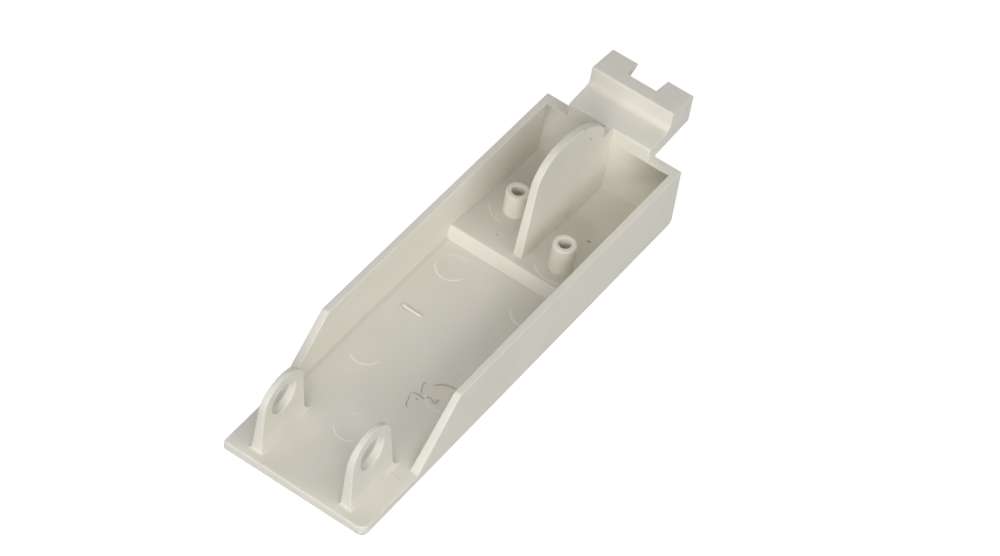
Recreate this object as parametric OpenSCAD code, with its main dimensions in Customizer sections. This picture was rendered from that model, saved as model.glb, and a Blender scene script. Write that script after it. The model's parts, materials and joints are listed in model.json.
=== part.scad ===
// Push button for the door of a washing machine: one moulded tray, lying on its
// show face with the open side up. Two drilled ears carry it at the pivot end,
// and a notched hook on a short tongue works the catch at the other end.
// Millimetres, built with X = 0 at the pivot end and the show face at Z = 0, and
// then moved along X so that the origin is at the middle of its length.

/* [Tray] */
// Length from the pivot end to the outside of the end wall
tray_length = 102.5; // [98:0.5:112]
// Width over the side walls at the show face
tray_width = 32.4; // [30:0.2:38]
// Height of the side and end walls over the show face
wall_height = 15; // [13:0.5:18]
// Thickness of the tray floor
floor_t = 2.5; // [2:0.1:3]
// Thickness of a side wall at its rim
side_t = 1.5; // [1.2:0.1:2]
// Thickness of the end wall at its rim
end_t = 2.5; // [2:0.1:3]
// Draft of each wall face over the wall height
draft = 0.2; // [0.1:0.05:0.3]
// Distance from the pivot end to the foot of the side walls
wall_foot = 16.8; // [16.4:0.2:20]
// Length of the slope up to the full wall height
wall_slope = 11.7; // [8:0.1:14]
// Radius at the foot and the top of the slope
slope_r = 1; // [0.5:0.1:2]
// Plan radius of the left corner at the pivot end
corner_left_r = 0.6; // [0.4:0.1:3]
// Plan radius of the right corner at the pivot end
corner_right_r = 2.2; // [0.4:0.1:3]
// Radius of the long edges of the show face
face_edge_r = 0.8; // [0.4:0.1:1]
// Radius of the show face edge at the pivot end
lip_under_r = 0.9; // [0.4:0.1:1.2]
// Radius of the show face edge at the hook end
end_edge_r = 2.4; // [1.5:0.1:3]
// Radius where the side walls meet the floor inside
root_r = 0.5; // [0.3:0.05:0.6]
// Radius where the end wall meets the floor inside
end_root_r = 0.8; // [0.7:0.1:1.2]
// Radius of the edges that are only softened
soft_r = 0.35; // [0.2:0.05:0.4]

/* [Finger ramp] */
// Distance from the step of the ramp to the outside of the end wall
step_to_end = 33.5; // [31:0.5:36]
// Length of the ramp
ramp_len = 20.5; // [18:0.5:22]
// Distance that the step leans out at its foot
ramp_lean = 1; // [0.2:0.1:1.4]
// Height of the step over the tray floor
ramp_h = 2.9; // [2.4:0.1:3.2]
// Wall left behind the step, above the finger recess
ramp_wall = 2.4; // [2:0.1:3]
// Width of the finger recess in the show face
recess_w = 25; // [20:0.5:26]
// Plan radius of the recess corners
recess_r = 4; // [2:0.5:5]

/* [Centre fin] */
// Distance from the step of the ramp to the foot of the fin
fin_setback = 2.2; // [1.4:0.2:3]
// Lean of the two upright edges of the fin, in degrees
fin_lean = 6.4; // [4:0.2:8]
// Height of the fin over the wall rim
fin_rise = 13.8; // [12:0.2:16]
// Radius of the long back of the fin
fin_back_r = 19.8; // [19:0.2:22]
// Radius of the shoulder over the front edge
fin_nose_r = 7.6; // [6:0.2:8]
// Distance from the foot of the fin to its crown
fin_crown = 10; // [9.4:0.2:11.2]
// Angle from the crown to the shoulder arc, in degrees
fin_turn = 3.4; // [1:0.2:8]
// Flat left between the fin and the end wall
fin_gap = 3.2; // [2.8:0.2:5]
// Thickness of the fin at the floor
fin_root_t = 2; // [1.6:0.1:2.2]
// Thickness of the fin at its top
fin_tip_t = 1.5; // [1:0.1:1.6]

/* [Pivot ears] */
// Distance from the pivot end to the ears
ear_x = 2.2; // [1.6:0.1:3]
// Clear width between the ears at the floor
ear_gap = 18.2; // [16:0.2:20]
// Thickness of an ear at the floor
ear_t = 2.3; // [1.8:0.1:2.6]
// Draft of the inner face of an ear over its height
ear_draft_in = 0.3; // [0.1:0.05:0.4]
// Draft of the outer face of an ear over its height
ear_draft_out = 0.9; // [0.4:0.05:1]
// Outer radius of the ear round the pivot
ear_r = 6; // [5.4:0.1:6.4]
// Diameter of the pivot bore
pivot_d = 6.9; // [5:0.1:8]
// Height of the pivot axis over the show face
pivot_z = 12.9; // [12:0.1:14]
// Length of an ear along the floor
ear_foot = 13.4; // [13:0.2:14]
// Fillet at the foot of an ear
ear_fillet = 0.8; // [0.3:0.1:1]
// Fillet in front of an ear
ear_toe_r = 0.6; // [0.3:0.1:0.7]
// Fillet behind an ear
ear_heel_r = 2.4; // [0.8:0.1:2.6]

/* [Screw bosses] */
// Distance from the step of the ramp to the left boss
boss_left_set = 12.9; // [9:0.1:15]
// Distance from the step of the ramp to the right boss
boss_right_set = 5.9; // [5.6:0.1:9]
// Distance between the two boss axes across the tray
boss_pitch = 15.6; // [13.6:0.2:16]
// Height of the left boss over the show face
boss_left_top = 9.4; // [8.8:0.1:11]
// Height of the right boss over the show face
boss_right_top = 11.5; // [9:0.1:12]
// Diameter of a boss at its top
boss_d = 4.8; // [4:0.1:5.4]
// Diameter of the screw holes
boss_hole_d = 2.6; // [2:0.1:2.8]
// Depth of the screw holes
boss_hole_depth = 6.6; // [5:0.1:6.8]
// Draft of a boss over its height, on the radius
boss_draft = 0.2; // [0.1:0.05:0.4]

/* [Hook] */
// Width of the tongue and its hook
tongue_w = 19.2; // [16:0.2:22]
// Height of the tongue root over the wall rim
tongue_rise = 3.5; // [3:0.1:4.4]
// Rise of the tongue towards the hook, in degrees
tongue_lean = 4; // [2:0.5:6]
// Distance from the end wall's outside to the hook face
hook_x = 4.3; // [3.6:0.1:6]
// Length of the hook block
hook_len = 7.6; // [6.5:0.1:9]
// Height of the hook face over the tongue
hook_h = 4.4; // [3.5:0.1:5.5]
// Fall of the hook top towards its tip, in degrees
hook_fall = 6; // [4:0.5:10]
// Radius between tongue and hook face
hook_root_r = 1.5; // [0.8:0.1:2]
// Radius between the underside of the tongue and the end wall
under_r = 0.6; // [0.3:0.1:1]
// Width of the notch in the hook at its top
notch_w = 7; // [5:0.2:9]
// Length of the notch
notch_len = 4.1; // [3:0.1:5]
// Flare of each notch side, in degrees
notch_flare = 16; // [8:1:18]

/* [Flash rings] */
// Diameter of the rings that the ejector pins left on the floor
pin_d = 6.6; // [5:0.2:7]
// Wall of the ejector sleeves that left a ring round each boss
sleeve_t = 2.6; // [2:0.1:3]
// Height of a ring
flash_h = 0.15; // [0.1:0.05:0.2]
// Width of a ring at its foot
flash_w = 0.6; // [0.4:0.1:0.8]
// Distance from the pivot end to the ring on the centre line
pin_centre_x = 18; // [17:0.2:20]
// Distance from the pivot end to the first pair of rings
pin_pair_x = 34.8; // [30:0.2:40]
// Distance from the next ring on the left to the step of the ramp
pin_left_set = 6.5; // [5:0.1:10]
// Distance from the next ring on the right to the step of the ramp
pin_right_set = 8.7; // [5:0.1:10]
// Distance from the last ring to the outside of the end wall
pin_end_set = 7.5; // [7:0.1:8.6]
// Distance of the side rings from the centre line
pin_y = 8.9; // [8:0.1:10]

/* [Hidden] */
$fn = 48;
// how far a cut runs past the face that it opens, and a joint into its neighbour
past = 1;
// how far an arc reaches over the faces that it runs into, so that they always meet
meet = 0.001;
L = tray_length;
W = tray_width;
H = wall_height;
rim_half = W/2 - draft - side_t;
floor_half = rim_half - draft;
inner_end = L - end_t;
ramp_x = L - step_to_end;
ramp_end = ramp_x + ramp_len;
ramp_z = floor_t + ramp_h;
ramp_slope = ramp_h/ramp_len;
tongue_z = H + tongue_rise;
hook_face = L + hook_x;
hook_tip = hook_face + hook_len;
hook_foot = tongue_z + (hook_face - inner_end)*tan(tongue_lean);
hook_top = hook_foot + hook_h;
hook_tip_top = hook_top - hook_len*tan(hook_fall);
hook_under = H + (hook_tip - L)*tan(tongue_lean);
ear_x2 = ear_x + ear_foot;
pivot_x = ear_x + ear_r;
ear_top = pivot_z + ear_r;
fin_x = ramp_x + fin_setback;
fin_top = H + fin_rise;
fin_end = inner_end - fin_gap;
// place of the top of each boss
bosses = [[ramp_x + boss_left_set, boss_pitch/2, boss_left_top],
          [ramp_x + boss_right_set, -boss_pitch/2, boss_right_top]];
// places of the ejector pin rings on the floor
pins = [[pin_centre_x, 0], [pin_pair_x, pin_y], [pin_pair_x, -pin_y],
        [ramp_x - pin_left_set, pin_y], [ramp_x - pin_right_set, -pin_y],
        [L - pin_end_set, -pin_y]];
plastic = [0.86, 0.84, 0.79];

function unit(v) = v/norm(v);

// distance from the middle of the fin to its drafted sides at height z
function fin_half(z) =
    fin_root_t/2 - (fin_root_t - fin_tip_t)/2*(z - floor_t)/(fin_top - floor_t);

// distance from the centre line to the inner and the outer face of an ear at height z
function ear_in(z) = ear_gap/2 + ear_draft_in*(z - floor_t)/(ear_top - floor_t);
function ear_out(z) = ear_gap/2 + ear_t - ear_draft_out*(z - floor_t)/(ear_top - floor_t);

// a flat outline in X and Z carried across the tray, centred on Y = 0
module across(w) translate([0, w/2, 0]) rotate([90, 0, 0]) linear_extrude(w) children();

// a flat outline in Y and Z carried along the tray from x0
module along(x0, len) translate([x0, 0, 0]) rotate([90, 0, 90]) linear_extrude(len) children();

// the web between a corner p, its two edges a and b, and an arc of radius r:
// taken off, it rounds a corner, and added, it fills one; its tip lies behind
// the corner, so that it overlaps what it cuts or joins
module web(p, a, b, r) {
    ua = unit(a);
    ub = unit(b);
    mid = unit(ua + ub);
    half = acos(ua*ub)/2;
    t = r/tan(half);
    translate(p) difference() {
        polygon([-mid*r/2, ua*t, mid*r/sin(half), ub*t]);
        translate(mid*r/sin(half)) circle(r + meet, $fn = 24);
    }
}

// side view of the tray: flat lip, slope, full walls, rounded show face edges
module tray_side() {
    rise = [wall_slope, H - floor_t];
    difference() {
        polygon([[0, 0], [L, 0], [L, H], [wall_foot + wall_slope, H],
                 [wall_foot, floor_t], [0, floor_t]]);
        web([0, 0], [1, 0], [0, 1], lip_under_r);
        web([0, floor_t], [1, 0], [0, -1], soft_r);
        web([L, 0], [-1, 0], [0, 1], end_edge_r);
        web([wall_foot + wall_slope, H], [1, 0], -rise, slope_r);
    }
    web([wall_foot, floor_t], [-1, 0], rise, slope_r);
}

// cross section of the tray: drafted sides, rounded long edges
module tray_section()
    difference() {
        polygon([[-W/2, 0], [W/2, 0], [W/2 - draft, H], [draft - W/2, H]]);
        for (s = [-1, 1]) web([s*W/2, 0], [-s, 0], [-s*draft, H], face_edge_r);
    }

// plan of the tray: rounded corners at the pivot end
module tray_plan()
    difference() {
        translate([0, -W/2]) square([L, W]);
        web([0, W/2], [1, 0], [0, -1], corner_left_r);
        web([0, -W/2], [1, 0], [0, 1], corner_right_r);
        for (s = [-1, 1]) web([L, s*W/2], [-1, 0], [0, -s], soft_r);
    }

// the space inside the walls, open at the pivot end and at the top
module tray_inside()
    intersection() {
        across(W) difference() {
            polygon([[-past, floor_t], [inner_end - draft, floor_t], [inner_end, H],
                     [inner_end, H + past], [-past, H + past]]);
            web([inner_end - draft, floor_t], [-1, 0], [draft, H - floor_t], end_root_r);
        }
        along(-2*past, L + 2*past) difference() {
            polygon([[-floor_half, floor_t], [floor_half, floor_t], [rim_half, H],
                     [rim_half, H + past], [-rim_half, H + past], [-rim_half, H]]);
            for (s = [-1, 1])
                web([s*floor_half, floor_t], [-s, 0], [s*draft, H - floor_t], root_r);
        }
    }

module tray_shell()
    difference() {
        intersection() {
            linear_extrude(H) tray_plan();
            across(W + 2*past) tray_side();
            along(-past, L + 2*past) tray_section();
        }
        tray_inside();
    }

// the back of the finger recess: a step, then a slope down to the floor
module ramp()
    across(2*floor_half + side_t) difference() {
        polygon([[ramp_x - ramp_lean*(ramp_z - floor_t/2)/ramp_h, floor_t/2], [ramp_x, ramp_z],
                 [ramp_end + past, floor_t - past*ramp_slope], [ramp_end + past, floor_t/2]]);
        web([ramp_x, ramp_z], [-ramp_lean, -ramp_h], [ramp_len, -ramp_h], soft_r);
    }

// the recess itself, one floor thickness below the ramp
module finger_recess()
    intersection() {
        across(recess_w) polygon([[ramp_x + ramp_wall, -past],
            [ramp_x + ramp_wall, ramp_h - ramp_wall*ramp_slope],
            [ramp_end + past, -past*ramp_slope], [ramp_end + past, -past]]);
        translate([0, 0, -past]) linear_extrude(H) difference() {
            translate([ramp_x, -recess_w/2]) square([ramp_len + 2*past, recess_w]);
            for (s = [-1, 1])
                web([ramp_x + ramp_wall, s*recess_w/2], [1, 0], [0, -s], recess_r);
        }
    }

// side view of the fin: leaning front edge, a shoulder arc that runs into the
// long back curve, then the low bar that joins it to the end wall
module fin_side() {
    crown = [-sin(fin_turn), cos(fin_turn)];
    back = [fin_x + fin_crown, fin_top - fin_back_r];
    nose = back + (fin_back_r - fin_nose_r)*crown;
    touch = back + fin_back_r*crown;
    top = fin_top + past;
    intersection() {
        polygon([[fin_x - (ramp_z - floor_t/2)*tan(fin_lean), floor_t/2],
                 [fin_x + (top - ramp_z)*tan(fin_lean), top],
                 [fin_end - (top - tongue_z)*tan(fin_lean), top],
                 [fin_end, tongue_z], [fin_end, floor_t/2]]);
        union() {
            translate(back) circle(fin_back_r);
            translate([back[0] - 2*fin_back_r, 0]) square([4*fin_back_r, back[1]]);
        }
        union() {
            translate(nose) circle(fin_nose_r + meet);
            translate([touch[0], 0]) square([2*fin_back_r, top]);
            translate([nose[0] - fin_back_r, 0]) square([2*fin_back_r, nose[1]]);
        }
    }
    translate([fin_end - past, floor_t/2])
        square([fin_gap + past + end_t/2, tongue_z - floor_t/2]);
}

module fin()
    intersection() {
        across(fin_root_t + 2*past) fin_side();
        along(0, L) polygon([[-fin_half(0), 0], [-fin_half(fin_top + past), fin_top + past],
            [fin_half(fin_top + past), fin_top + past], [fin_half(0), 0]]);
    }

// side view of an ear: round eye, upright front, sloping back, toe and heel fillets
module ear_side() {
    eye = [pivot_x, pivot_z];
    heel = [ear_x2, floor_t];
    d = heel - eye;
    turn = acos(ear_r/norm(d));
    dir = atan2(d[1], d[0]) + turn;
    touch = eye + ear_r*[cos(dir), sin(dir)];
    translate(eye) circle(ear_r + meet);
    polygon([[ear_x, floor_t/2], [ear_x, pivot_z], eye, touch, heel, [ear_x2, floor_t/2]]);
    web(heel, [1, 0], touch - heel, ear_heel_r);
    web([ear_x, floor_t], [-1, 0], [0, 1], ear_toe_r);
}

// an ear seen along the tray: thinner at the top, filleted at the floor
module ear_section() {
    foot = floor_t/2;
    top = ear_top + past;
    rise = ear_top - floor_t;
    polygon([[ear_in(foot), foot], [ear_in(top), top], [ear_out(top), top], [ear_out(foot), foot]]);
    web([ear_in(floor_t), floor_t], [-1, 0], [ear_draft_in, rise], ear_fillet);
    web([ear_out(floor_t), floor_t], [1, 0], [-ear_draft_out, rise], ear_fillet);
}

module ears()
    difference() {
        for (side = [0, 1]) mirror([0, side, 0]) intersection() {
            across(ear_gap + 4*ear_t) ear_side();
            along(0, ear_x2 + 2*ear_heel_r) ear_section();
        }
        translate([pivot_x, 0, pivot_z]) rotate([90, 0, 0])
            cylinder(h = ear_gap + 2*ear_t + 2*past, d = pivot_d, center = true);
    }

// a drafted screw boss of the given height with a softened rim, standing in the ramp
module boss(top)
    rotate_extrude() difference() {
        polygon([[0, floor_t], [boss_d/2 + boss_draft, floor_t], [boss_d/2, top], [0, top]]);
        web([boss_d/2, top], [-1, 0], [boss_draft, floor_t - top], soft_r);
    }

// side view of the tongue and hook
module tongue_side() {
    difference() {
        polygon([[inner_end, H - end_t], [inner_end, tongue_z], [hook_face, hook_foot],
                 [hook_face, hook_top], [hook_tip, hook_tip_top], [hook_tip, hook_under],
                 [L, H], [L, H - end_t]]);
        web([inner_end, tongue_z], [0, -1], [cos(tongue_lean), sin(tongue_lean)], soft_r);
        web([hook_face, hook_top], [0, -1], [cos(hook_fall), -sin(hook_fall)], soft_r);
    }
    web([hook_face, hook_foot], [0, 1], [-cos(tongue_lean), -sin(tongue_lean)], hook_root_r);
    web([L, H], [0, -1], [cos(tongue_lean), sin(tongue_lean)], under_r);
}

// the notch in the hook, wider below than at the top
module notch() {
    top = hook_top - hook_tip_top + past;
    bottom = hook_under - hook_tip_top - past;
    flare = tan(notch_flare);
    translate([0, 0, hook_tip_top]) along(hook_tip - notch_len, notch_len + past) polygon([
        [top*flare - notch_w/2, top], [notch_w/2 - top*flare, top],
        [notch_w/2 - bottom*flare, bottom], [bottom*flare - notch_w/2, bottom]]);
}

module tongue()
    difference() {
        across(tongue_w) tongue_side();
        notch();
    }

// the low ring of flash that an ejector leaves, standing on z = 0
module flash_ring(d)
    rotate_extrude()
        polygon([[d/2 - flash_w, -flash_h], [d/2 + flash_w, -flash_h], [d/2, flash_h]]);

// rings round the ejector pins on the floor, and round the bosses on the slope
module flash_rings() {
    fall = atan(ramp_slope);
    for (p = pins) translate([p[0], p[1], floor_t]) flash_ring(pin_d);
    translate([ramp_x, 0, ramp_z]) rotate([0, fall, 0])
        for (b = bosses) translate([(b[0] - ramp_x)/cos(fall), b[1], 0])
            flash_ring(boss_d + 2*sleeve_t);
}

module button_body()
    color(plastic) translate([-hook_tip/2, 0, 0]) difference() {
        union() {
            tray_shell();
            ramp();
            fin();
            ears();
            tongue();
            for (b = bosses) translate([b[0], b[1], 0]) boss(b[2]);
            flash_rings();
        }
        finger_recess();
        for (b = bosses) translate([b[0], b[1], b[2] - boss_hole_depth])
            cylinder(h = boss_hole_depth + past, d = boss_hole_d);
    }

button_body();
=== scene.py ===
import json
import logging
import math
from dataclasses import dataclass
from enum import Enum
from typing import Any, ClassVar, Sequence, Union

import bmesh
import bpy
import numpy as np
from mathutils import Matrix, Vector

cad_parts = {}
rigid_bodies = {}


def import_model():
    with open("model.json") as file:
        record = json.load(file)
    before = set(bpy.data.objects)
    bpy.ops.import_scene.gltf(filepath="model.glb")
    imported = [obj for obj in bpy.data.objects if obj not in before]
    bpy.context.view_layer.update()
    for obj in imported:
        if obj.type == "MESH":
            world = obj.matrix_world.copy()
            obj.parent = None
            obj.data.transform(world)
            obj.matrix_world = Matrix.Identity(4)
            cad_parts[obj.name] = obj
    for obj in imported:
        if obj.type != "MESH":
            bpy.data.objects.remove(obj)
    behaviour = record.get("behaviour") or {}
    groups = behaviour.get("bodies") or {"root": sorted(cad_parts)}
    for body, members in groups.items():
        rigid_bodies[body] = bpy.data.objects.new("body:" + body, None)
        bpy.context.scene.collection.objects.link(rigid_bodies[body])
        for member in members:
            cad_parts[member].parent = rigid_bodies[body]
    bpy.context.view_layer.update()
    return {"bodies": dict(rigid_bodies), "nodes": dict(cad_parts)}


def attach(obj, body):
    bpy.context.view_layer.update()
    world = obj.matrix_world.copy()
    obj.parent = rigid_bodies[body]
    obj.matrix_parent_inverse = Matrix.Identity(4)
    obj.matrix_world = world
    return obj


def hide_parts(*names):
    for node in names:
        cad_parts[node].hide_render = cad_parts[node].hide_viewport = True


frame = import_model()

# A millimetre in metres. Sizes and places are in millimetres where no docstring says otherwise.
MM = 0.001
LOG = logging.getLogger("door_button")
NODE = "button_body"
BODY = "root"
FLOOR_Z = 2.5
PIN_RADIUS = 3.3
PIN_CREST = 3.33
SLEEVE_RADIUS = 5.0
SLEEVE_CREST = 5.03
NOISE_MEAN = 0.5
# The inputs and the output of a Mix node that hold its factor and its colours.
MIX_FACTOR, MIX_FIRST, MIX_SECOND, MIX_RESULT = 0, 6, 7, 2
WHITE = (1.0, 1.0, 1.0)
Number = Union[int, float]
Colour = tuple[float, float, float]
Point = tuple[float, float, float]
Route = Sequence[tuple[float, float]]


class Signal:
    """One output socket of a shader graph, on which Python's operators add Math nodes."""

    def __init__(self, graph: "ShaderGraph", socket: bpy.types.NodeSocket) -> None:
        """Wraps a socket.

        Args:
            graph: the graph that new nodes are added to.
            socket: the output that this signal carries.
        """
        self.graph = graph
        self.socket = socket

    def __add__(self, other: "Value") -> "Signal":
        """Sum of two signals."""
        return self.graph.math("ADD", self, other)

    def __radd__(self, other: "Value") -> "Signal":
        """Sum with the number on the left."""
        return self.graph.math("ADD", other, self)

    def __sub__(self, other: "Value") -> "Signal":
        """Difference of two signals."""
        return self.graph.math("SUBTRACT", self, other)

    def __rsub__(self, other: "Value") -> "Signal":
        """Difference with the number on the left."""
        return self.graph.math("SUBTRACT", other, self)

    def __mul__(self, other: "Value") -> "Signal":
        """Product of two signals."""
        return self.graph.math("MULTIPLY", self, other)

    def __rmul__(self, other: "Value") -> "Signal":
        """Product with the number on the left."""
        return self.graph.math("MULTIPLY", other, self)

    def __truediv__(self, other: "Value") -> "Signal":
        """Quotient of two signals."""
        return self.graph.math("DIVIDE", self, other)

    def __rtruediv__(self, other: "Value") -> "Signal":
        """Quotient with the number on the left."""
        return self.graph.math("DIVIDE", other, self)

    def __abs__(self) -> "Signal":
        """Absolute value of a signal."""
        return self.graph.math("ABSOLUTE", self)

    def largest(self, other: "Value") -> "Signal":
        """The larger of two signals."""
        return self.graph.math("MAXIMUM", self, other)

    def smallest(self, other: "Value") -> "Signal":
        """The smaller of two signals."""
        return self.graph.math("MINIMUM", self, other)

    def step(self, start: Number, end: Number) -> "Signal":
        """A smooth step.

        Args:
            start: the value at which the result is 0.
            end: the value at which the result is 1; it may lie below start.

        Returns:
            A signal from 0 to 1.
        """
        settings = {"interpolation_type": "SMOOTHSTEP"}
        values = {"Value": self, "From Min": start, "From Max": end}
        return self.graph.add("ShaderNodeMapRange", settings, values)


Value = Union[Signal, Number, Colour, Point]
Settings = dict[str, Any]
Values = dict[Union[int, str], Value]


class ShaderGraph:
    """The node tree of one material or of the world, built from Python expressions."""

    def __init__(self, name: str, store: Any = None) -> None:
        """Makes an empty material, or an empty world.

        Args:
            name: its name.
            store: the collection of data that it is made in; the materials where none is given.
        """
        self.owner = (bpy.data.materials if store is None else store).new(name)
        self.owner.use_nodes = True
        self.tree = self.owner.node_tree
        self.tree.nodes.clear()

    def node(self, kind: str, settings: Settings, values: Values) -> bpy.types.Node:
        """Adds one node: its settings first, then the values or links of its sockets.

        Args:
            kind: the node's type.
            settings: attributes to set.
            values: numbers, colours or signals by the input's name or index.

        Returns:
            The new node.
        """
        made = self.tree.nodes.new(kind)
        for key, setting in settings.items():
            setattr(made, key, setting)
        for key, value in values.items():
            if isinstance(value, Signal):
                self.tree.links.new(value.socket, made.inputs[key])
            else:
                made.inputs[key].default_value = value
        return made

    def add(self, kind: str, settings: Settings, values: Values,
            output: Union[int, str] = 0) -> Signal:
        """Adds one node and returns one of its outputs.

        Args:
            kind: the node's type.
            settings: attributes to set.
            values: numbers, colours or signals by the input's name or index.
            output: the name or index of the output.

        Returns:
            The output as a signal.
        """
        return Signal(self, self.node(kind, settings, values).outputs[output])

    def math(self, operation: str, *values: Value) -> Signal:
        """Adds a Math node.

        Args:
            operation: the node's operation.
            values: its inputs, in order.

        Returns:
            The result.
        """
        return self.add("ShaderNodeMath", {"operation": operation}, dict(enumerate(values)))

    def vector(self, operation: str, *values: Value, output: str = "Vector") -> Signal:
        """Adds a Vector Math node.

        Args:
            operation: the node's operation.
            values: its inputs, in order.
            output: the name of the output.

        Returns:
            The result.
        """
        settings = {"operation": operation}
        return self.add("ShaderNodeVectorMath", settings, dict(enumerate(values)), output)

    def scaled(self, vector: Value, factor: Value) -> Signal:
        """A vector made longer or shorter by a number."""
        values = {0: vector, "Scale": factor}
        return self.add("ShaderNodeVectorMath", {"operation": "SCALE"}, values, "Vector")

    def blend(self, factor: Value, first: Value, second: Value) -> Signal:
        """Mixes two colours.

        Args:
            factor: 0 for the first colour, 1 for the second.
            first: a colour or a signal.
            second: a colour or a signal.

        Returns:
            The mixed colour.
        """
        values = {MIX_FACTOR: factor, MIX_FIRST: _opaque(first), MIX_SECOND: _opaque(second)}
        return self.add("ShaderNodeMix", {"data_type": "RGBA"}, values, MIX_RESULT)

    def place(self) -> Signal:
        """The point on the object, in millimetres."""
        here = self.add("ShaderNodeTexCoord", {}, {}, "Object")
        mapping = {"Vector": here, "Scale": (1 / MM, 1 / MM, 1 / MM)}
        return self.add("ShaderNodeMapping", {}, mapping)

    def noise(self, place: Signal, size: float, octaves: float = 2.0) -> Signal:
        """Smooth noise from 0 to 1.

        Args:
            place: the point in millimetres.
            size: the size of one blotch in millimetres.
            octaves: the number of finer layers.

        Returns:
            The noise.
        """
        values = {"Vector": place, "Scale": 1 / size, "Detail": octaves}
        return self.add("ShaderNodeTexNoise", {}, values, 0)

    def seen(self) -> Signal:
        """1 for a ray from the camera, or one that gloss or glass sends on."""
        rays = self.node("ShaderNodeLightPath", {}, {})
        camera, gloss, glass = (Signal(self, rays.outputs[name]) for name in
                                ("Is Camera Ray", "Is Glossy Ray", "Is Transmission Ray"))
        return camera.largest(gloss).largest(glass)

    def finish(self, shader: bpy.types.Node, output: str = "ShaderNodeOutputMaterial") -> Any:
        """Links the last shader to the output.

        Args:
            shader: the node whose first output is the surface.
            output: the type of the output node.

        Returns:
            The finished material or world.
        """
        self.node(output, {}, {"Surface": Signal(self, shader.outputs[0])})
        return self.owner


def _opaque(value: Value) -> Value:
    """A colour with its alpha, or the signal as it is."""
    return value if isinstance(value, Signal) else (*value, 1.0)


@dataclass(frozen=True)
class Speck:
    """A small dark spot round its centre."""

    centre: Point
    radius: float
    share: float
    core: ClassVar[float] = 0.5

    def mask(self, graph: ShaderGraph, place: Signal) -> Signal:
        """Full in the core, a part of the radius, and nothing from the radius on."""
        away = graph.vector("DISTANCE", place, self.centre, output="Value")
        return away.step(self.radius, self.radius * self.core) * self.share


@dataclass(frozen=True)
class Streak:
    """A soft straight mark between two points: a scratch, or painted shade along a foot."""

    start: Point
    end: Point
    width: float
    share: float
    core: ClassVar[float] = 0.25

    def mask(self, graph: ShaderGraph, place: Signal) -> Signal:
        """The distance to the segment, made a soft line with a full core.

        The nearest point of the segment is start plus the whole step times the share of it
        that the offset from start covers, held between 0 and 1.

        Args:
            graph: the graph that the nodes are added to.
            place: the point on the object, in millimetres.

        Returns:
            The mark's share, from 0 to 1.
        """
        whole = tuple(b - a for a, b in zip(self.start, self.end))
        offset = graph.vector("SUBTRACT", place, self.start)
        along = graph.vector("DOT_PRODUCT", offset, whole, output="Value")
        share = (along / sum(c * c for c in whole)).largest(0.0).smallest(1.0)
        nearest = graph.scaled(whole, share)
        away = graph.vector("DISTANCE", offset, nearest, output="Value")
        return away.step(self.width, self.width * self.core) * self.share


@dataclass(frozen=True)
class RingArc:
    """A mark along part of a circle: caught dirt, or a painted highlight along the crest of a
    raised ring.

    The middle of the part is a bearing from +X towards +Y, and it reaches half_range to each
    side of it, both in degrees.
    """

    centre: Point
    radius: float
    middle: float
    half_range: float
    width: float
    share: float
    core: ClassVar[float] = 0.6

    def mask(self, graph: ShaderGraph, place: Signal) -> Signal:
        """A soft band round the circle that fades out away from its middle bearing.

        The band falls with the difference between the offset's length and the radius. The
        fading reads the cosine of the bearing from the middle: the offset along the middle's
        direction, over the radius.

        Args:
            graph: the graph that the nodes are added to.
            place: the point on the object, in millimetres.

        Returns:
            The mark's share, from 0 to 1.
        """
        offset = graph.vector("SUBTRACT", place, self.centre)
        away = abs(graph.vector("LENGTH", offset, output="Value") - self.radius)
        middle = math.radians(self.middle)
        aim = (math.cos(middle), math.sin(middle), 0.0)
        turn = graph.vector("DOT_PRODUCT", offset, aim, output="Value") / self.radius
        edge, full = (math.cos(math.radians(self.half_range * part)) for part in (1, self.core))
        return away.step(self.width, 0.0) * turn.step(edge, full) * self.share


Mark = Union[Speck, Streak, RingArc]


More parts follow.
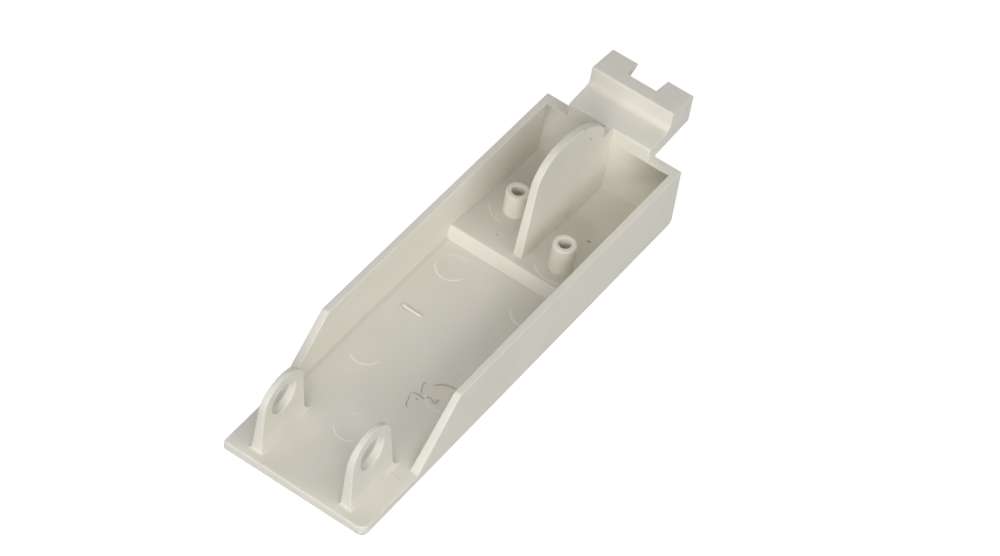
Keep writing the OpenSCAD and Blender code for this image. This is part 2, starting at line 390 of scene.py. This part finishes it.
@dataclass(frozen=True)
class MouldedPlastic:
    """Warm grey moulded plastic: satin, slightly translucent, mottled, with a fine grain."""

    base: Colour = (0.80, 0.773, 0.697)
    mottle: Colour = (0.76, 0.746, 0.66)
    mottle_size: float = 9.0
    mottle_range: tuple[float, float] = (0.35, 0.7)
    mottle_share: float = 0.5
    roughness: float = 0.46
    roughness_spread: float = 0.12
    grain_size: float = 0.16
    grain_octaves: float = 3.0
    grain_height: float = 0.012
    wave_size: float = 5.0
    wave_octaves: float = 1.0
    wave_height: float = 0.05
    refraction: float = 1.5
    depth: float = 1.5
    depth_tint: Colour = (1.0, 1.0, 0.78)
    translucency: float = 0.5
    brown: Colour = (0.52, 0.37, 0.22)
    # the dark tint of the specks and scratches, and of the painted shade along the feet of the wall
    # and ears
    soot_and_painted_shade: Colour = (0.16, 0.15, 0.12)
    # the pale tint of the painted highlights along the ring crests
    painted_highlight_tint: Colour = (0.96, 0.94, 0.88)
    stains: tuple[Mark, ...] = ()
    specks_and_painted_shade: tuple[Mark, ...] = ()
    painted_highlights: tuple[Mark, ...] = ()

    def build(self, name: str) -> bpy.types.Material:
        """Builds the material.

        The colour is the base, mottled by soft noise, with each mark blended over it in turn: brown
        stains, then dark specks, scratches and painted shade, then painted highlights along ring
        crests.
        A fine grain and long shallow waves make the bump, and the waves also change the
        roughness a little to each side of its mean.

        Args:
            name: the material's name.

        Returns:
            The material, which reads the object's own coordinates.
        """
        graph = ShaderGraph(name)
        place = graph.place()
        cloud = graph.noise(place, self.mottle_size).step(*self.mottle_range)
        colour = graph.blend(cloud * self.mottle_share, self.base, self.mottle)
        # stains, then dark specks and painted shade, then painted highlights along ring crests
        for marks, tint in ((self.stains, self.brown), (self.specks_and_painted_shade, self.soot_and_painted_shade),
                            (self.painted_highlights, self.painted_highlight_tint)):
            for mark in marks:
                colour = graph.blend(mark.mask(graph, place), colour, tint)
        grain = graph.noise(place, self.grain_size, self.grain_octaves)
        wave = graph.noise(place, self.wave_size, self.wave_octaves)
        roughness = self.roughness + (wave - NOISE_MEAN) * self.roughness_spread
        height = grain * self.grain_height + wave * self.wave_height
        bump = graph.add("ShaderNodeBump", {}, {"Strength": 1.0, "Distance": MM, "Height": height})
        values = {"Base Color": colour, "Roughness": roughness, "Normal": bump,
                  "IOR": self.refraction, "Subsurface Weight": self.translucency,
                  "Subsurface Scale": self.depth * MM, "Subsurface Radius": self.depth_tint}
        return graph.finish(graph.node("ShaderNodeBsdfPrincipled", {}, values))


@dataclass(frozen=True)
class FibreFinish:
    """Dark matt fibre of a stray hair."""

    light: Colour = (0.45, 0.43, 0.37)
    dark: Colour = (0.24, 0.23, 0.19)
    blotch: float = 0.6
    least_roughness: float = 0.4
    roughness_spread: float = 0.6

    def build(self) -> bpy.types.Material:
        """Builds the material, darker and smoother in short stretches.

        Returns:
            The material, which reads the object's own coordinates.
        """
        graph = ShaderGraph("stray_fibre")
        cloud = graph.noise(graph.place(), self.blotch)
        values = {"Base Color": graph.blend(cloud, self.dark, self.light),
                  "Roughness": self.least_roughness + cloud * self.roughness_spread}
        return graph.finish(graph.node("ShaderNodeBsdfPrincipled", {}, values))


def new_object(name: str, data: Any) -> bpy.types.Object:
    """Makes an object at the origin and links it to the scene.

    Args:
        name: the object's name.
        data: its mesh, lamp or camera.

    Returns:
        The new object.
    """
    made = bpy.data.objects.new(name, data)
    bpy.context.scene.collection.objects.link(made)
    return made


def new_piece(name: str, vertices: np.ndarray, faces: Sequence[Sequence[int]],
              material: bpy.types.Material) -> bpy.types.Object:
    """Makes a piece that rides on the body, with its place in its mesh.

    Args:
        name: the piece's name.
        vertices: N by 3 points in millimetres.
        faces: loops of vertex numbers, counter-clockwise from outside.
        material: the piece's finish.

    Returns:
        The new object.
    """
    mesh = bpy.data.meshes.new(name)
    mesh.from_pydata((vertices * MM).tolist(), [], [list(map(int, f)) for f in faces])
    mesh.validate()
    mesh.materials.append(material)
    piece = new_object(name, mesh)
    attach(piece, BODY)
    return piece


class EdgeKind(Enum):
    """How an edge of the moulding is finished."""

    SMOOTH = "smooth"
    CREASE = "crease"
    ROUNDED = "rounded"


@dataclass(frozen=True)
class PinRing:
    """A faint ring that an ejector left: its centre, its radius and the arcs where it stands clear.

    An arc is a pair of bearings in degrees, from +X towards +Y, the first below the second.
    """

    x: float
    y: float
    radius: float
    arcs: tuple[tuple[float, float], ...] = ()

    def reach(self, point: Vector) -> float:
        """How far a point lies from the ring's crest, in millimetres, seen from above."""
        return abs(math.hypot(point.x / MM - self.x, point.y / MM - self.y) - self.radius)

    def is_clear(self, point: Vector) -> bool:
        """Whether a point's bearing lies in one of the arcs."""
        bearing = math.degrees(math.atan2(point.y / MM - self.y, point.x / MM - self.x))
        return any(start <= turned <= end for start, end in self.arcs
                   for turned in (bearing, bearing + 360))


PIN_RINGS: tuple[PinRing, ...] = (
    PinRing(-39.2, 0.0, PIN_RADIUS, ((15, 37), (119, 218))),
    PinRing(-22.4, 8.9, PIN_RADIUS, ((150, 253),)),
    PinRing(-22.4, -8.9, PIN_RADIUS),
    PinRing(5.3, 8.9, PIN_RADIUS, ((-10, 40), (113, 247))),
    PinRing(3.1, -8.9, PIN_RADIUS),
    PinRing(37.8, -8.9, PIN_RADIUS),
    PinRing(24.7, 7.8, SLEEVE_RADIUS, ((112, 182),)),
    PinRing(17.7, -7.8, SLEEVE_RADIUS, ((128, 214),)),
)


@dataclass
class Moulding:
    """The body of the button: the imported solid's own surface with its sharp edges softened.

    Lengths are in millimetres and angles in degrees. level is the least height of the normal
    of a face that looks up, and broad the least width of a face that isn't a rounding's facet.
    """

    edge_radius: float = 0.13
    edge_segments: int = 3
    sharp_angle: float = 35.0
    crease_angle: float = 18.0
    break_angle: float = 1.5
    broad: float = 0.6
    merge: float = 0.0001
    short_edge: float = 0.02
    flat_angle: float = 0.5
    level: float = 0.8
    ring_reach: float = 0.45
    ring_crest: float = 0.12
    rings: tuple[PinRing, ...] = PIN_RINGS

    def build(self, material: bpy.types.Material) -> bpy.types.Object:
        """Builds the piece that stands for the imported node.

        The solid's loose triangles are merged and its flat faces joined, then each edge is
        marked with how it is finished.

        Args:
            material: the plastic.

        Returns:
            The new object.
        """
        mesh = bpy.data.meshes.new("moulding")
        work = bmesh.new()
        work.from_mesh(frame["nodes"][NODE].data)
        bmesh.ops.remove_doubles(work, verts=work.verts, dist=self.merge * MM)
        bmesh.ops.dissolve_degenerate(work, dist=self.short_edge * MM, edges=work.edges)
        bmesh.ops.dissolve_limit(work, angle_limit=math.radians(self.flat_angle),
                                 verts=work.verts, edges=work.edges, delimit=set())
        weight = work.edges.layers.float.new("bevel_weight_edge")
        for edge in work.edges:
            kind = self._kind(edge)
            edge.smooth = kind is not EdgeKind.CREASE
            edge[weight] = float(kind is EdgeKind.ROUNDED)
        for face in work.faces:
            face.smooth = True
        work.to_mesh(mesh)
        work.free()
        mesh.materials.append(material)
        piece = new_object("moulding", mesh)
        self._soften(piece)
        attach(piece, BODY)
        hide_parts(NODE)
        return piece

    def _kind(self, edge: bmesh.types.BMEdge) -> EdgeKind:
        """How an edge is finished.

        Args:
            edge: an edge of the merged solid.

        Returns:
            ROUNDED for a convex edge over the sharp angle. CREASE where the surface turns
            sharply, or turns at all between two broad faces: the facets of a rounded edge are
            narrow, by twice their area over their outline. On a ring, CREASE only for the
            crest where it stands clear.
        """
        if not edge.is_manifold:
            return EdgeKind.CREASE
        ring = next((r for r in self.rings if self._lies_on(r, edge)), None)
        if ring is not None:
            crest = all(ring.reach(v.co) < self.ring_crest for v in edge.verts)
            clear = ring.is_clear(sum((v.co for v in edge.verts), Vector()) / 2)
            return EdgeKind.CREASE if crest and clear else EdgeKind.SMOOTH
        if edge.calc_face_angle_signed(0.0) > math.radians(self.sharp_angle):
            return EdgeKind.ROUNDED
        widths = [2 * f.calc_area() / f.calc_perimeter() for f in edge.link_faces]
        limit = self.break_angle if min(widths) > self.broad * MM else self.crease_angle
        turned = edge.calc_face_angle(0.0) > math.radians(limit)
        return EdgeKind.CREASE if turned else EdgeKind.SMOOTH

    def _lies_on(self, ring: PinRing, edge: bmesh.types.BMEdge) -> bool:
        """Whether an edge is part of a ring: near its crest, between faces that look up."""
        near = all(ring.reach(v.co) < self.ring_reach for v in edge.verts)
        return near and all(f.normal.z > self.level for f in edge.link_faces)

    def _soften(self, piece: bpy.types.Object) -> None:
        """Adds the rounding of the sharp edges and normals that keep the flat faces flat.

        Args:
            piece: the object to soften.
        """
        bevel = piece.modifiers.new("soft_edges", "BEVEL")
        bevel.width = self.edge_radius * MM
        bevel.segments = self.edge_segments
        bevel.limit_method = "WEIGHT"
        bevel.use_clamp_overlap = False
        normals = piece.modifiers.new("flat_faces", "WEIGHTED_NORMAL")
        normals.keep_sharp = True


@dataclass
class CavityNumeral:
    """The plain raised figure on the tray floor that tells one mould cavity from the next."""

    stem_left: float = -9.0
    stem_width: float = 0.9
    foot_y: float = 5.9
    top_y: float = 11.05
    shoulder: tuple[float, float] = (0.75, 0.35)
    tip: tuple[float, float] = (1.3, 1.85)
    flag_depth: float = 1.0
    height: float = 0.25
    inset: float = 0.27
    root: float = 0.1

    def outline(self) -> np.ndarray:
        """The figure's outline, counter-clockwise seen from above.

        The stem is a plain bar. The flag falls away from its top left corner to the shoulder
        and the tip, each given by how far it lies to the left of that corner and below it.

        Returns:
            N by 2 points in millimetres.
        """
        left, top = self.stem_left, self.top_y
        right = left + self.stem_width
        flag = [(left - reach, top - drop) for reach, drop in (self.shoulder, self.tip)]
        return np.array([(left, self.foot_y), (right, self.foot_y), (right, top), (left, top),
                         *flag, (left, top - self.flag_depth)])

    def build(self, material: bpy.types.Material) -> bpy.types.Object:
        """Builds the figure: the outline below the floor, and again inset at its top.

        Each top point is the outline's point moved inwards along the corner's bisector by
        inset over the sine of half the corner, so every side has the same draft.

        Args:
            material: the plastic.

        Returns:
            The new object.
        """
        low = self.outline()
        before = low - np.roll(low, 1, axis=0)
        after = np.roll(low, -1, axis=0) - low
        before /= np.linalg.norm(before, axis=1, keepdims=True)
        after /= np.linalg.norm(after, axis=1, keepdims=True)
        inward = np.stack([-before[:, 1] - after[:, 1], before[:, 0] + after[:, 0]], axis=1)
        inward *= self.inset * 2 / (inward ** 2).sum(axis=1, keepdims=True)
        high = low + inward
        count = len(low)
        levels = (FLOOR_Z - self.root, FLOOR_Z + self.height)
        vertices = np.vstack([np.column_stack([ring, np.full(count, z)])
                              for ring, z in zip((low, high), levels)])
        around = np.arange(count)
        onward = np.roll(around, -1)
        sides = np.stack([around, onward, onward + count, around + count], axis=1)
        faces = [*sides, around + count, around[::-1]]
        piece = new_piece("cavity_numeral", vertices, faces, material)
        return piece


@dataclass
class StrayFibre:
    """A short dark hair that lies on the tray floor."""

    name: str
    route: Route
    radius: float = 0.055
    lift: float = 0.01
    taper: float = 6.0
    tip_share: float = 0.15
    wave_share: float = 0.5
    wave_angle: float = 9.0
    steps: int = 8
    sides: int = 8

    def build(self, material: bpy.types.Material) -> bpy.types.Object:
        """Sweeps a round section along a smooth curve through the route's points.

        The curve is a Catmull-Rom spline: between two points it is the cubic whose slope at
        each is half the step between that point's neighbours. The section's radius falls
        towards both ends, to tip_share of itself. The line rises and falls over the floor by
        wave_share of the radius, as the sine of its share of the way times wave_angle.

        Args:
            material: the fibre's finish.

        Returns:
            The new object.
        """
        points = np.array(self.route, float)
        padded = np.vstack([2 * points[0] - points[1], points, 2 * points[-1] - points[-2]])
        t = np.linspace(0, 1, self.steps, endpoint=False)[None, :, None]
        p0, p1, p2, p3 = (padded[i:len(points) - 1 + i, None, :] for i in range(4))
        curve = 0.5 * (2 * p1 + (p2 - p0) * t + (2 * p0 - 5 * p1 + 4 * p2 - p3) * t ** 2
                       + (3 * p1 - p0 - 3 * p2 + p3) * t ** 3)
        line = np.vstack([curve.reshape(-1, 2), points[-1]])
        slope = np.gradient(line, axis=0)
        slope /= np.linalg.norm(slope, axis=1, keepdims=True)
        side = np.column_stack([-slope[:, 1], slope[:, 0]])
        share = np.linspace(0, 1, len(line))
        ends = np.minimum(share, 1 - share)
        thickness = self.radius * np.clip(self.taper * ends, self.tip_share, 1)
        angle = np.linspace(0, 2 * math.pi, self.sides, endpoint=False)
        swing = self.wave_share * np.sin(self.wave_angle * share)
        height = FLOOR_Z + self.lift + self.radius * (1 + swing)
        across = thickness[:, None] * np.cos(angle)
        up = thickness[:, None] * np.sin(angle)
        ring = np.stack([line[:, None, 0] + side[:, None, 0] * across,
                         line[:, None, 1] + side[:, None, 1] * across,
                         height[:, None] + up], axis=2)
        rows, columns = ring.shape[:2]
        row, column = np.meshgrid(np.arange(rows - 1), np.arange(columns), indexing="ij")
        beside = (column + 1) % columns
        quads = np.stack([row * columns + column, row * columns + beside,
                          (row + 1) * columns + beside, (row + 1) * columns + column], axis=2)
        caps = [np.arange(columns)[::-1], (rows - 1) * columns + np.arange(columns)]
        piece = new_piece(self.name, ring.reshape(-1, 3), [*quads.reshape(-1, 4), *caps], material)
        piece.data.shade_smooth()
        return piece


def towards(azimuth: float, elevation: float) -> Vector:
    """The unit vector from the object to a bearing.

    Args:
        azimuth: degrees round from +X towards +Y.
        elevation: degrees above the table.

    Returns:
        Its level part is the cosine of the elevation, turned by the azimuth, and its height
        the sine of the elevation.
    """
    turn, rise = math.radians(azimuth), math.radians(elevation)
    return Vector((math.cos(rise) * math.cos(turn), math.cos(rise) * math.sin(turn),
                   math.sin(rise)))


@dataclass(frozen=True)
class PhotoCamera:
    """The camera at the reference view: where it stands, how it rolls and its lens.

    Angles are in degrees, the lens and the sensor in millimetres and the rest in metres.
    """

    azimuth: float = 207.791
    elevation: float = 48.286
    roll: float = 9.983
    distance: float = 0.769284
    target: Point = (0.007314, -0.000705, 0.005)
    lens: float = 144.249
    sensor: float = 36.0
    nearest: float = 0.01
    furthest: float = 20.0

    def build(self) -> bpy.types.Object:
        """Stands the camera on a sphere round the target and turns it to look there.

        Returns:
            The camera, which the scene then uses.
        """
        back, roll = towards(self.azimuth, self.elevation), math.radians(self.roll)
        level = back.cross(Vector((0, 0, 1))).normalized() * -1
        upright = back.cross(level)
        right = math.cos(roll) * level + math.sin(roll) * upright
        up = math.cos(roll) * upright - math.sin(roll) * level
        data = bpy.data.cameras.new("photo_camera")
        data.sensor_fit = "HORIZONTAL"
        data.sensor_width = self.sensor
        data.lens = self.lens
        data.clip_start = self.nearest
        data.clip_end = self.furthest
        camera = new_object("photo_camera", data)
        turn = Matrix((right, up, back)).transposed().to_4x4()
        turn.translation = Vector(self.target) + back * self.distance
        camera.matrix_world = turn
        bpy.context.scene.camera = camera
        return camera


@dataclass(frozen=True)
class Lamp:
    """A soft square lamp that points at the origin, in degrees, watts and metres."""

    name: str
    azimuth: float
    elevation: float
    power: float
    distance: float = 1.1
    size: float = 0.7

    def build(self) -> bpy.types.Object:
        """Places the lamp by its bearing and turns it towards the origin.

        Returns:
            The lamp.
        """
        back = towards(self.azimuth, self.elevation)
        data = bpy.data.lights.new(self.name, "AREA")
        data.size = self.size
        data.energy = self.power
        lamp = new_object(self.name, data)
        lamp.location = back * self.distance
        lamp.rotation_euler = back.to_track_quat("Z", "Y").to_euler()
        return lamp


@dataclass(frozen=True)
class Studio:
    """The white table, the even light from all round, and the lamps, in metres."""

    table_size: float = 6.0
    table_drop: float = 0.0001
    table_colour: Colour = (0.3, 0.3, 0.3)
    table_glow: float = 0.9
    sky: float = 0.24
    lamps: tuple[Lamp, ...] = (
        Lamp("key", 206.0, 20.0, 6.1),
        Lamp("high_key", 206.0, 45.0, 0.6),
        Lamp("right_fill", 260.0, 35.0, 3.1),
        Lamp("left_fill", 175.0, 35.0, 2.0),
        Lamp("back_fill", 30.0, 40.0, 0.9),
    )

    def build(self) -> None:
        """Builds the table, the sky and the lamps."""
        self._table()
        self._sky()
        for lamp in self.lamps:
            lamp.build()
        bpy.context.scene.view_settings.view_transform = "Standard"

    def _table(self) -> None:
        """A plain sheet that keeps the object's shadow and glows white where it is seen."""
        half, level = self.table_size / 2, -self.table_drop
        mesh = bpy.data.meshes.new("table")
        corners = [(-half, -half, level), (half, -half, level), (half, half, level),
                   (-half, half, level)]
        mesh.from_pydata(corners, [], [(0, 1, 2, 3)])
        graph = ShaderGraph("table_white")
        glow = graph.seen() * self.table_glow
        values = {"Base Color": _opaque(self.table_colour), "Roughness": 1.0,
                  "Specular IOR Level": 0.0, "Emission Color": _opaque(WHITE),
                  "Emission Strength": glow}
        mesh.materials.append(graph.finish(graph.node("ShaderNodeBsdfPrincipled", {}, values)))
        new_object("table", mesh)

    def _sky(self) -> None:
        """An even sky that is white where it is seen."""
        graph = ShaderGraph("studio", bpy.data.worlds)
        strength = self.sky + graph.seen() * (1.0 - self.sky)
        values = {"Color": _opaque(WHITE), "Strength": strength}
        background = graph.node("ShaderNodeBackground", {}, values)
        bpy.context.scene.world = graph.finish(background, "ShaderNodeOutputWorld")


def clear_stock_objects() -> None:
    """Removes what a new file holds, such as its first cube, lamp and camera."""
    kept = {*frame["nodes"].values(), *frame["bodies"].values()}
    for stock in [o for o in bpy.data.objects if o not in kept]:
        bpy.data.objects.remove(stock)


HAIRS: dict[str, Route] = {
    "hair_loop": [(-25.22, -3.39), (-24.87, -3.80), (-24.71, -5.17), (-24.86, -6.18),
                  (-23.84, -6.77), (-24.36, -8.18), (-23.96, -8.64), (-23.33, -8.55),
                  (-23.62, -8.09), (-24.25, -7.95)],
    "hair_tail": [(-25.22, -3.39), (-26.42, -3.90), (-27.73, -4.26), (-28.23, -4.62),
                  (-28.47, -5.17)],
    "hair_hook": [(-21.25, -4.44), (-21.85, -3.99), (-22.80, -4.31), (-23.63, -4.76),
                  (-24.58, -5.08)],
}
STAINS: tuple[Mark, ...] = (
    # along an ejector ring, then small touches at the fin's foot and crown and on an ear
    RingArc((-22.4, -8.9, FLOOR_Z), 3.35, 27.0, 44.0, 0.42, 0.9),
    Speck((30.2, -1.0, 4.4), 1.3, 0.25),
    Speck((31.5, -0.8, 27.1), 0.6, 0.35),
    Speck((-54.9, -10.6, 9.4), 0.7, 0.12),
)
# dark specks and scratches, and painted shade along the feet of the left wall and the ears
SPECKS_AND_PAINTED_SHADE: tuple[Mark, ...] = (
    Speck((-25.75, -5.22, FLOOR_Z), 0.28, 0.5),
    Speck((28.0, -7.7, 3.1), 0.42, 0.75),
    Speck((16.24, 6.31, 4.8), 0.30, 0.35),
    Speck((11.5, 14.4, 2.3), 0.55, 0.5),
    Speck((34.3, -0.8, 22.4), 0.4, 0.55),
    # two scratches beside the right wall
    Streak((-42.63, -11.39, FLOOR_Z), (-43.31, -14.19, FLOOR_Z), 0.22, 0.17),
    Streak((-41.60, -11.60, FLOOR_Z), (-42.20, -13.30, FLOOR_Z), 0.18, 0.12),
    # shade along the foot of the left wall and of the two ears
    Streak((-40.5, 14.1, 2.6), (11.5, 14.1, 2.6), 0.7, 0.13),
    Streak((-53.5, 9.2, 2.6), (-44.6, 9.2, 2.6), 0.6, 0.09),
    Streak((-53.5, -11.4, 2.6), (-44.6, -11.4, 2.6), 0.6, 0.13),
)
PAINTED_HIGHLIGHTS: tuple[Mark, ...] = (
    # painted highlights: centre, radius, bearing of the middle, half range, width and share of each
    # clear arc
    RingArc((-39.2, 0.0, FLOOR_Z), PIN_CREST, 168.0, 64.0, 0.30, 0.7),
    RingArc((-39.2, 0.0, FLOOR_Z), PIN_CREST, 26.0, 15.0, 0.32, 1.0),
    RingArc((-22.4, 8.9, FLOOR_Z), PIN_CREST, 202.0, 66.0, 0.34, 0.9),
    RingArc((-22.4, -8.9, FLOOR_Z), PIN_CREST, 160.0, 58.0, 0.34, 0.7),
    RingArc((5.3, 8.9, FLOOR_Z), PIN_CREST, 180.0, 84.0, 0.34, 0.8),
    RingArc((5.3, 8.9, FLOOR_Z), PIN_CREST, 15.0, 46.0, 0.30, 0.6),
    RingArc((5.2, -9.1, FLOOR_Z), PIN_CREST, 160.0, 56.0, 0.38, 0.8),
    RingArc((24.7, 7.8, 3.6), SLEEVE_CREST, 147.0, 44.0, 0.36, 0.5),
    RingArc((17.7, -7.8, 4.55), SLEEVE_CREST, 171.0, 50.0, 0.40, 0.7),
)
BODY_PLASTIC = MouldedPlastic(stains=STAINS, specks_and_painted_shade=SPECKS_AND_PAINTED_SHADE, painted_highlights=PAINTED_HIGHLIGHTS)
FIGURE_PLASTIC = MouldedPlastic(base=(0.77, 0.75, 0.68), mottle=(0.74, 0.72, 0.65),
                                translucency=0.0)


def main() -> None:
    """Builds the studio and the button, in order, and reports each piece."""
    logging.basicConfig(level=logging.INFO, format="%(name)s: %(message)s")
    clear_stock_objects()
    PhotoCamera().build()
    Studio().build()
    fibre = FibreFinish().build()
    pieces = [Moulding().build(BODY_PLASTIC.build("moulded_plastic")),
              CavityNumeral().build(FIGURE_PLASTIC.build("moulded_figure"))]
    pieces += [StrayFibre(name, route).build(fibre) for name, route in HAIRS.items()]
    for piece in pieces:
        LOG.info("%s: %d faces before its modifiers", piece.name, len(piece.data.polygons))


if __name__ == "__main__":
    main()
